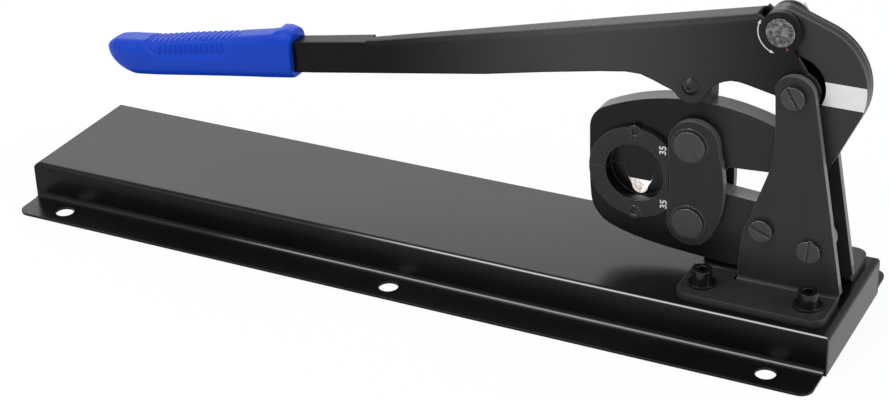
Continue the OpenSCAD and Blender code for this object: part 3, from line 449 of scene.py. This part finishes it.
dress(flat_plate("black_hook", dark=0.028, pale=0.040, sheared=0.002, corner=0.12,
                 seam_at=HOOK_SEAM), "hook_front_plate", "hook_inner_plates",
      "hook_rear_plate")
label = Finish("plain_label", roughness=0.5)
label.put("Base Color", label.blend(
    label.noise(200.0), (0.78, 0.78, 0.78), (0.88, 0.88, 0.87)))
label.relief(label.noise(1500.0, detail=2.0), distance=0.00001, strength=0.3, radius=0.0001)
dress(label, "blank_label")


# The lever: a channel folded from steel sheet with its web on top, in a smooth black
# coat. Painted light makes it paler over the stretch before the head, and its edges
# carry a painted highlight.
COAT_DARK, COAT_PAINTED_LIGHT = (0.005, 0.005, 0.0054), (0.055, 0.055, 0.058)
COAT_EDGE_HIGHLIGHT = (0.14, 0.14, 0.14)
PAINTED_LIGHT_X, PAINTED_LIGHT_REACH = 0.11, 0.15

coat = Finish("smooth_black_coat", shine=0.10)
skin = coat.noise(700.0, detail=2.0)
# painted light: the coat is painted paler over the stretch before the head
painted_light_stretch = coat.step((coat.axes()[0] - PAINTED_LIGHT_X).absolute(), PAINTED_LIGHT_REACH, 0.0)
colour = coat.blend(painted_light_stretch, COAT_DARK, COAT_PAINTED_LIGHT)
# a painted highlight along the sharp edges
coat.put("Base Color", coat.blend(coat.edge(radius=0.0005) * 0.4, colour, COAT_EDGE_HIGHLIGHT))
coat.put("Roughness", 0.25 + skin * 0.06)
coat.relief(skin, distance=0.00001, strength=0.3, radius=0.0024)
dress(coat, "lever_channel")


# The stop: a moulded block of black rubber that rests over the upper jaw. A button-head
# screw holds it in the lever.
rubber = Finish("black_rubber", roughness=0.7)
dust = rubber.noise(700.0, detail=4.0, roughness=0.65)
rubber.put("Base Color", rubber.blend(dust, (0.014, 0.014, 0.014), (0.03, 0.03, 0.03)))
rubber.relief(dust, distance=0.00005, strength=0.4, radius=0.0006)
dress(rubber, "stop_bumper")


# The adjusting dial: a flat disc of mottled cast zinc on a pin through the lever, with
# plain numbers round it. A double arrow and a red mark are printed beside it.
ZINC_STOPS = [(0.34, (0.035, 0.035, 0.036)), (0.5, (0.14, 0.14, 0.142)), (0.66, (0.30, 0.30, 0.30))]
ZINC_EDGE_HIGHLIGHT = (0.5, 0.5, 0.5)

zinc = Finish("mottled_zinc", metallic=0.8)
blotch = zinc.noise(420.0, detail=4.0, roughness=0.7)
colour = zinc.node("ShaderNodeValToRGB", {"stops": ZINC_STOPS}, [blotch])
# a painted highlight along the sharp edges of the dial
zinc.put("Base Color", zinc.blend(zinc.edge(radius=0.0003), colour, ZINC_EDGE_HIGHLIGHT))
zinc.put("Roughness", 0.3 + blotch * 0.3)
zinc.relief(blotch, distance=0.00008, strength=0.5, radius=0.0004)
dress(zinc, "adjust_dial")

DIAL_X, DIAL_Z = 0.2215, 0.1843
DIAL_FACE_Y = -0.01003
DIAL_NUMBERS = 6
FIRST_NUMBER_DEG = 120
DIAL_NUMBER_R, DIAL_NUMBER_HEIGHT = 0.0056, 0.0021

dark_print = Finish("dark_print", roughness=0.5)
dark_print.put("Base Color", dark_print.blend(
    dark_print.noise(900.0), (0.006, 0.006, 0.006), (0.02, 0.02, 0.02)))
for number in range(1, DIAL_NUMBERS + 1):
    turn = np.radians(FIRST_NUMBER_DEG - 360 / DIAL_NUMBERS * (number - 1))
    printed("dial_number_%d" % number, str(number),
            (DIAL_X + DIAL_NUMBER_R * np.cos(turn), DIAL_FACE_Y,
             DIAL_Z + DIAL_NUMBER_R * np.sin(turn)), DIAL_NUMBER_HEIGHT,
            turn - np.pi / 2, dark_print, "dial")

LEVER_PRINT_Y = -0.00956


def keep(name, points, faces, finish, body, slot, smooth):
    """A piece from an array or list of points and its faces."""
    mesh = bpy.data.meshes.new(name)
    mesh.from_pydata(np.asarray(points).reshape(-1, 3).tolist(), [], faces)
    mesh.shade_smooth() if smooth else mesh.shade_flat()
    mesh.validate()
    return settle(name, mesh, finish, body)


def flat_mark(name, outline, finish, body, slot):
    """A thin closed plate printed on the lever's front: the outline's X and Z points at
    the print's Y and again a thickness behind it, joined by a ring of quads."""
    count = len(outline)
    points = [(px, LEVER_PRINT_Y + back, pz) for back in (0, PRINT_THICKNESS)
              for px, pz in outline]
    faces = [list(range(count))[::-1], list(range(count, 2 * count))]
    faces += [(i, (i + 1) % count, (i + 1) % count + count, i + count) for i in range(count)]
    piece = keep(name, points, faces, finish, body, slot, smooth=False)
    fix = bmesh.new()
    fix.from_mesh(piece.data)
    bmesh.ops.recalc_face_normals(fix, faces=fix.faces)
    fix.to_mesh(piece.data)
    fix.free()


def on_ring(radius, degrees):
    """A point round the dial, at an angle up from the head end."""
    return (DIAL_X + radius * np.cos(np.radians(degrees)),
            DIAL_Z + radius * np.sin(np.radians(degrees)))


ARROW_R, ARROW_FROM, ARROW_TO = 0.0129, 152.0, 256.0
HEAD_DEG, HEAD_HALF, SHAFT_HALF = 11.0, 0.0009, 0.0003
SHAFT_POINTS = 25

neck_from, neck_to = ARROW_FROM + HEAD_DEG, ARROW_TO - HEAD_DEG
sweep = np.linspace(neck_from, neck_to, SHAFT_POINTS)
arrow = [on_ring(ARROW_R, ARROW_FROM), on_ring(ARROW_R + HEAD_HALF, neck_from)]
arrow += [on_ring(ARROW_R + SHAFT_HALF, a) for a in sweep]
arrow += [on_ring(ARROW_R + HEAD_HALF, neck_to), on_ring(ARROW_R, ARROW_TO),
          on_ring(ARROW_R - HEAD_HALF, neck_to)]
arrow += [on_ring(ARROW_R - SHAFT_HALF, a) for a in sweep[::-1]]
arrow += [on_ring(ARROW_R - HEAD_HALF, neck_from)]
flat_mark("turn_arrow", arrow, white_print, "lever", "white_label")

MARK_TIP_R, MARK_BACK_R, MARK_DEG, MARK_HALF_DEG = 0.0086, 0.0108, -66, 6

red_paint = Finish("red_paint", roughness=0.5)
red_paint.put("Base Color", red_paint.blend(
    red_paint.noise(1200.0), (0.16, 0.008, 0.012), (0.24, 0.014, 0.02)))
flat_mark("red_mark", [on_ring(MARK_TIP_R, MARK_DEG),
                       on_ring(MARK_BACK_R, MARK_DEG + MARK_HALF_DEG),
                       on_ring(MARK_BACK_R, MARK_DEG - MARK_HALF_DEG)],
          red_paint, "lever", None)


# The grip: a sleeve of satin blue vinyl pressed over the lever's end. It has a raised
# guard at its mouth, slanting ribs over its back and short upright ribs in a sunk
# panel on each side.
vinyl = Finish("blue_vinyl", shine=0.16)
skin = vinyl.noise(1300.0, detail=3.0, roughness=0.6)
shade = vinyl.noise(22.0)
vinyl.put("Base Color", vinyl.blend(shade, (0.002, 0.044, 0.46), (0.004, 0.058, 0.57)))
vinyl.put("Roughness", 0.30 + shade * 0.12)
vinyl.relief(skin, distance=0.00004, strength=0.3)

GRIP_START = np.array([-0.09289, 0.0, 0.12348])
GRIP_FALL = np.radians(10.0)
# From here on the grip is in millimetres: the height of its middle line over its start,
# then stations of distance from the mouth, height above and below that line, half width
GRIP_MIDDLE = -8.9
GRIP_STATIONS = np.array([
    [0.0, 13.6, 15.0, 10.5], [3.0, 14.1, 15.2, 10.7], [6.5, 14.6, 15.2, 10.8],
    [10.0, 14.8, 15.1, 10.9], [14.0, 14.8, 15.0, 11.0], [20.0, 14.4, 14.9, 11.1],
    [35.0, 13.8, 14.4, 11.2], [55.0, 13.2, 13.9, 11.4], [73.0, 12.8, 13.5, 11.6],
    [90.0, 12.1, 13.2, 11.8], [104.0, 11.6, 12.9, 11.9], [113.0, 11.8, 12.6, 11.9],
    [122.0, 12.3, 12.1, 11.8], [128.0, 12.6, 10.2, 11.3], [133.5, 12.6, 7.0, 10.3],
    [137.0, 11.8, 4.0, 9.1], [140.0, 10.4, 0.9, 7.3], [142.2, 8.6, -1.6, 5.0],
    [143.5, 6.6, -3.8, 2.6]])
GRIP_ROWS, GRIP_TURNS = 520, 192
TIP_RUN, TIP_ROWS = 8, 40
BOX_POWER = 0.6
# the sunk panel: its ends over the back as distances from the tip, and their sweep down
# the side
PANEL_TIP, TIP_SWEEP, PANEL_MOUTH, MOUTH_SWEEP = 34.0, 12.0, 104.0, 10.0
PANEL_SOFT, PANEL_SINK, PANEL_DEEP = 0.8, 0.9, 0.40
PANEL_FOOT = (0.385, 0.42)  # shares of the height, measured down from the top, as below
RIB_PITCH, RIB_RISE, RIB_FOOT = 4.4, 0.85, (0.03, 0.08)
TICK_PITCH, TICK_RISE, TICK_TOP, TICK_FOOT = 4.0, 1.2, (0.06, 0.10), (0.27, 0.31)
TICKS_FROM, TICKS_TO = (44, 45), (95, 96)
CREASE_AT, CREASE_SLANT, CREASE_FOOT, CREASE_SOFT = 10.6, 42.0, 0.3, 2.0
GUARD_FRONT, GUARD_FOOT, GUARD_WIDER, GUARD_HIGHER = (-5.0, 6.5), (0.20, 0.42), 0.7, 2.6
MOUTH_ROUND, MOUTH_ROUND_RUN, MOUTH_LEAN, MOUTH_LEAN_RUN = 1.1, 1.2, 0.15, 30.0
HOLE_HALF, HOLE_BELOW, HOLE_ABOVE, HOLE_DEPTH, HOLE_TAPER = 6.1, -11.0, 9.0, 6.0, 0.95
HOLE_EDGE = 0.06


def smooth_step(value, low, high):
    """3t^2 - 2t^3 with t running from 0 at low to 1 at high."""
    t = np.clip((value - low) / (high - low), 0.0, 1.0)
    return t * t * (3.0 - 2.0 * t)


def wave(distance, pitch):
    """0 at the start of each pitch and 1 in its middle: half of 1 less the cosine."""
    return 0.5 - 0.5 * np.cos(2 * np.pi * distance / pitch)


def along_curve(places, values, at):
    """A smooth curve through the stations: cubic pieces with slopes that never overshoot."""
    gaps = np.diff(places)
    rise = np.diff(values) / gaps
    slope = np.zeros_like(values)
    same = rise[:-1] * rise[1:] > 0
    slope[1:-1][same] = (2 * rise[:-1] * rise[1:] / (rise[:-1] + rise[1:] + 1e-12))[same]
    slope[0], slope[-1] = rise[0], rise[-1]
    k = np.clip(np.searchsorted(places, at) - 1, 0, len(gaps) - 1)
    t = (at - places[k]) / gaps[k]
    h = gaps[k]
    return ((2 * t**3 - 3 * t**2 + 1) * values[k] + (t**3 - 2 * t**2 + t) * h * slope[k]
            + (3 * t**2 - 2 * t**3) * values[k + 1] + (t**3 - t**2) * h * slope[k + 1])


def grip_place(run, across, lift):
    """Millimetres along, across and above the lever's end, to metres in the frame."""
    run = np.broadcast_to(run, across.shape)
    c, s = np.cos(GRIP_FALL), np.sin(GRIP_FALL)
    return np.stack([GRIP_START[0] + (-c * run - s * lift) / 1000.0, across / 1000.0,
                     GRIP_START[2] + (-s * run + c * lift) / 1000.0], axis=-1)


def grip_surface(rows, turns):
    """Rounded-box sections swept from the mouth to the tip: |cos|^0.6 of the half width
    and |sin|^0.6 of the half height about each station's own middle. Ribs, panel and
    guard move the skin outwards. Returns points and quads, closed at both ends."""
    end = GRIP_STATIONS[-1, 0]
    run = np.concatenate([np.linspace(0, end - TIP_RUN, rows - TIP_ROWS),
                          np.linspace(end - TIP_RUN, end, TIP_ROWS + 1)[1:]])
    angle = np.linspace(0, 2 * np.pi, turns, endpoint=False)
    up, down, half = (along_curve(GRIP_STATIONS[:, 0], GRIP_STATIONS[:, i], run)[:, None]
                      for i in (1, 2, 3))
    c, s = np.cos(angle)[None, :], np.sin(angle)[None, :]
    box_across = np.sign(c) * np.abs(c) ** BOX_POWER
    box_lift = np.sign(s) * np.abs(s) ** BOX_POWER
    across = box_across * half
    lift = (up - down) / 2 + box_lift * (up + down) / 2
    depth = (up - lift) / (up + down)
    away = run[:, None]
    tip = end - away
    low = np.clip(depth / PANEL_DEEP, 0, 1)
    left_end = PANEL_TIP + TIP_SWEEP * low**2
    right_end = PANEL_MOUTH - MOUTH_SWEEP * low
    panel = (smooth_step(tip, left_end - PANEL_SOFT, left_end + PANEL_SOFT)
             * (1 - smooth_step(tip, right_end - PANEL_SOFT, right_end + PANEL_SOFT))
             * (1 - smooth_step(depth, *PANEL_FOOT)))
    cross_rib = wave(tip - PANEL_TIP, RIB_PITCH) ** 1.5 * (1 - smooth_step(depth, *RIB_FOOT))
    side_rib = (wave(tip - TICKS_FROM[0], TICK_PITCH) ** 2.0
                * smooth_step(depth, *TICK_TOP) * (1 - smooth_step(depth, *TICK_FOOT))
                * smooth_step(tip, *TICKS_FROM) * (1 - smooth_step(tip, *TICKS_TO)))
    crease = CREASE_AT + CREASE_SLANT * np.clip(depth, 0, CREASE_FOOT)
    guard = (smooth_step(away, *GUARD_FRONT)
             * (1 - smooth_step(away, crease - CREASE_SOFT, crease))
             * (1 - smooth_step(depth, *GUARD_FOOT)))
    # the first millimetre rounds the rim of the mouth
    rim = np.sqrt(np.clip(1 - (1 - np.clip(away / MOUTH_ROUND_RUN, 0, 1)) ** 2, 0, 1))
    out = (-PANEL_SINK * panel + RIB_RISE * panel * cross_rib + TICK_RISE * panel * side_rib
           - MOUTH_ROUND * (1 - rim))
    unit = np.sqrt(box_across**2 + box_lift**2) + 1e-9
    across = across + (out + GUARD_WIDER * guard) * box_across / unit
    lift = (lift + out * box_lift / unit
            + GUARD_HIGHER * guard * smooth_step(box_lift, 0.0, BOX_POWER))
    # the end face closes on the lever and turns into it
    hole_across = np.clip(across[0], -HOLE_HALF, HOLE_HALF)
    hole_lift = np.clip(lift[0], HOLE_BELOW, HOLE_ABOVE)
    lead = [(HOLE_DEPTH, hole_across * HOLE_TAPER, hole_lift * HOLE_TAPER),
            (HOLE_EDGE, hole_across, hole_lift), (0.0, hole_across, hole_lift)]
    for part in (0.02, 0.5, 0.98):
        lead.append((0.0, hole_across + part * (across[0] - hole_across),
                     hole_lift + part * (lift[0] - hole_lift)))
    run = np.concatenate([[ring[0] for ring in lead], run])
    across = np.concatenate([np.stack([ring[1] for ring in lead]), across])
    lift = np.concatenate([np.stack([ring[2] for ring in lead]), lift])
    lean = MOUTH_LEAN * lift * np.clip(1 - run[:, None] / MOUTH_LEAN_RUN, 0, 1) ** 2
    points = grip_place(run[:, None] - lean, across, lift + GRIP_MIDDLE)
    n = len(run)
    i, k = np.meshgrid(np.arange(n - 1), np.arange(turns), indexing="ij")
    nxt = (k + 1) % turns
    quads = np.stack([i * turns + k, i * turns + nxt, (i + 1) * turns + nxt,
                      (i + 1) * turns + k], axis=-1).reshape(-1, 4).tolist()
    quads.append(list(range(turns))[::-1])
    quads.append([(n - 1) * turns + q for q in range(turns)])
    return points, quads


sleeve = keep("grip_sleeve", *grip_surface(GRIP_ROWS, GRIP_TURNS), vinyl, "lever",
              "blue_grip", smooth=True)
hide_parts("grip")


# The floor, the light and the camera. The floor and the sky are white to the eye and
# in reflections, and the lamps are broad and soft, as in a product studio.
WHITE = (1.0, 1.0, 1.0)
FLOOR_HALF, FLOOR_Z = 6.0, -0.0002
FLOOR_GREY, FLOOR_GLOW = 0.9, 0.93
SKY_LIGHT = 0.55


def seen_rays(shading):
    """1 on rays from the camera and on those sent on by a mirror or a clear piece."""
    outs = shading.node("ShaderNodeLightPath").socket.node.outputs
    seen = Wire(shading, outs["Is Camera Ray"])
    for ray in ("Is Glossy Ray", "Is Transmission Ray"):
        seen = seen.larger(Wire(shading, outs[ray]))
    return seen


ground = Finish("white_floor", roughness=0.9)
ground.put("Base Color", (FLOOR_GREY, FLOOR_GREY, FLOOR_GREY))
glow = ground.node("ShaderNodeEmission", None, {"Color": WHITE, "Strength": 1.0})
both = ground.node("ShaderNodeMixShader", None, [
    seen_rays(ground) * FLOOR_GLOW, Wire(ground, ground.shader.outputs[0]), glow])
ground.feed(ground.tree.nodes["Material Output"].inputs["Surface"], both)
corners = [(across * FLOOR_HALF, along * FLOOR_HALF, FLOOR_Z)
           for across, along in ((-1, -1), (1, -1), (1, 1), (-1, 1))]
mesh = bpy.data.meshes.new("floor")
mesh.from_pydata(corners, [], [(0, 1, 2, 3)])
mesh.materials.append(ground.material)
floor = bpy.data.objects.new("floor", mesh)
bpy.context.scene.collection.objects.link(floor)

world = bpy.data.worlds.new("studio")
bpy.context.scene.world = world
world.use_nodes = True
sky = Shading(world.node_tree)
lit = sky.tree.nodes["Background"]
sky.feed(lit.inputs["Color"], WHITE)
sky.feed(lit.inputs["Strength"], SKY_LIGHT)
white = sky.node("ShaderNodeBackground", None, {"Color": WHITE, "Strength": 1.0})
choose = sky.node("ShaderNodeMixShader", None, [
    seen_rays(sky), Wire(sky, lit.outputs[0]), white])
sky.feed(sky.tree.nodes["World Output"].inputs["Surface"], choose)


def turned(right, up, out, at):
    """A place and a turn as a matrix, for a lamp or a camera that looks away from out."""
    rows = np.eye(4)
    rows[:3] = np.stack([right, up, out, at], axis=1)
    return Matrix(rows.tolist())


def soft_lamp(name, at, target, size, power):
    """A rectangular area lamp at one place that faces another, of a width and height."""
    lamp = bpy.data.lights.new(name, "AREA")
    lamp.shape = "RECTANGLE"
    lamp.size, lamp.size_y = size
    lamp.energy = power
    holder = bpy.data.objects.new(name, lamp)
    bpy.context.scene.collection.objects.link(holder)
    out = np.array(at, float) - np.array(target, float)
    out /= np.linalg.norm(out)
    right = np.cross((0.0, 0.0, 1.0), out)
    right /= np.linalg.norm(right)
    holder.matrix_world = turned(right, np.cross(out, right), out, at)


soft_lamp("key_lamp", at=(-0.9, -1.3, 1.6), target=(0.05, 0.0, 0.1), size=(1.0, 1.0), power=11.0)
soft_lamp("top_lamp", at=(-0.45, -0.35, 1.75), target=(0.1, 0.0, 0.1), size=(0.75, 0.4), power=7.5)
soft_lamp("right_lamp", at=(1.8, 0.2, 0.7), target=(0.15, 0.0, 0.1), size=(0.9, 0.9), power=14.0)
soft_lamp("back_lamp", at=(-1.0, 1.6, 1.0), target=(0.0, 0.0, 0.05), size=(1.5, 0.5), power=6.2)

PHOTO_WIDE, PHOTO_HIGH = 889.0, 401.0
FOCAL_PIXELS, LENS_CENTRE = 2113.2, (447.0, 194.4)
SENSOR_WIDE = 36.0
CAMERA_AT = (0.5447, -1.0247, 0.6479)
YAW, PITCH, ROLL = np.radians([27.58, 27.89, -1.97])

ahead = np.array([-np.sin(YAW) * np.cos(PITCH), np.cos(YAW) * np.cos(PITCH), -np.sin(PITCH)])
level = np.array([np.cos(YAW), np.sin(YAW), 0.0])
above = np.cross(level, ahead)
lens = bpy.data.cameras.new("camera")
lens.sensor_width = SENSOR_WIDE
lens.lens = SENSOR_WIDE * FOCAL_PIXELS / PHOTO_WIDE
lens.shift_x = (PHOTO_WIDE / 2 - LENS_CENTRE[0]) / PHOTO_WIDE
lens.shift_y = (LENS_CENTRE[1] - PHOTO_HIGH / 2) / PHOTO_WIDE
lens.clip_start = 0.01
lens.clip_end = 50.0
camera = bpy.data.objects.new("camera", lens)
bpy.context.scene.collection.objects.link(camera)
camera.matrix_world = turned(np.cos(ROLL) * level + np.sin(ROLL) * above,
                             -np.sin(ROLL) * level + np.cos(ROLL) * above, -ahead, CAMERA_AT)
bpy.context.scene.camera = camera
bpy.context.scene.view_settings.view_transform = "Standard"
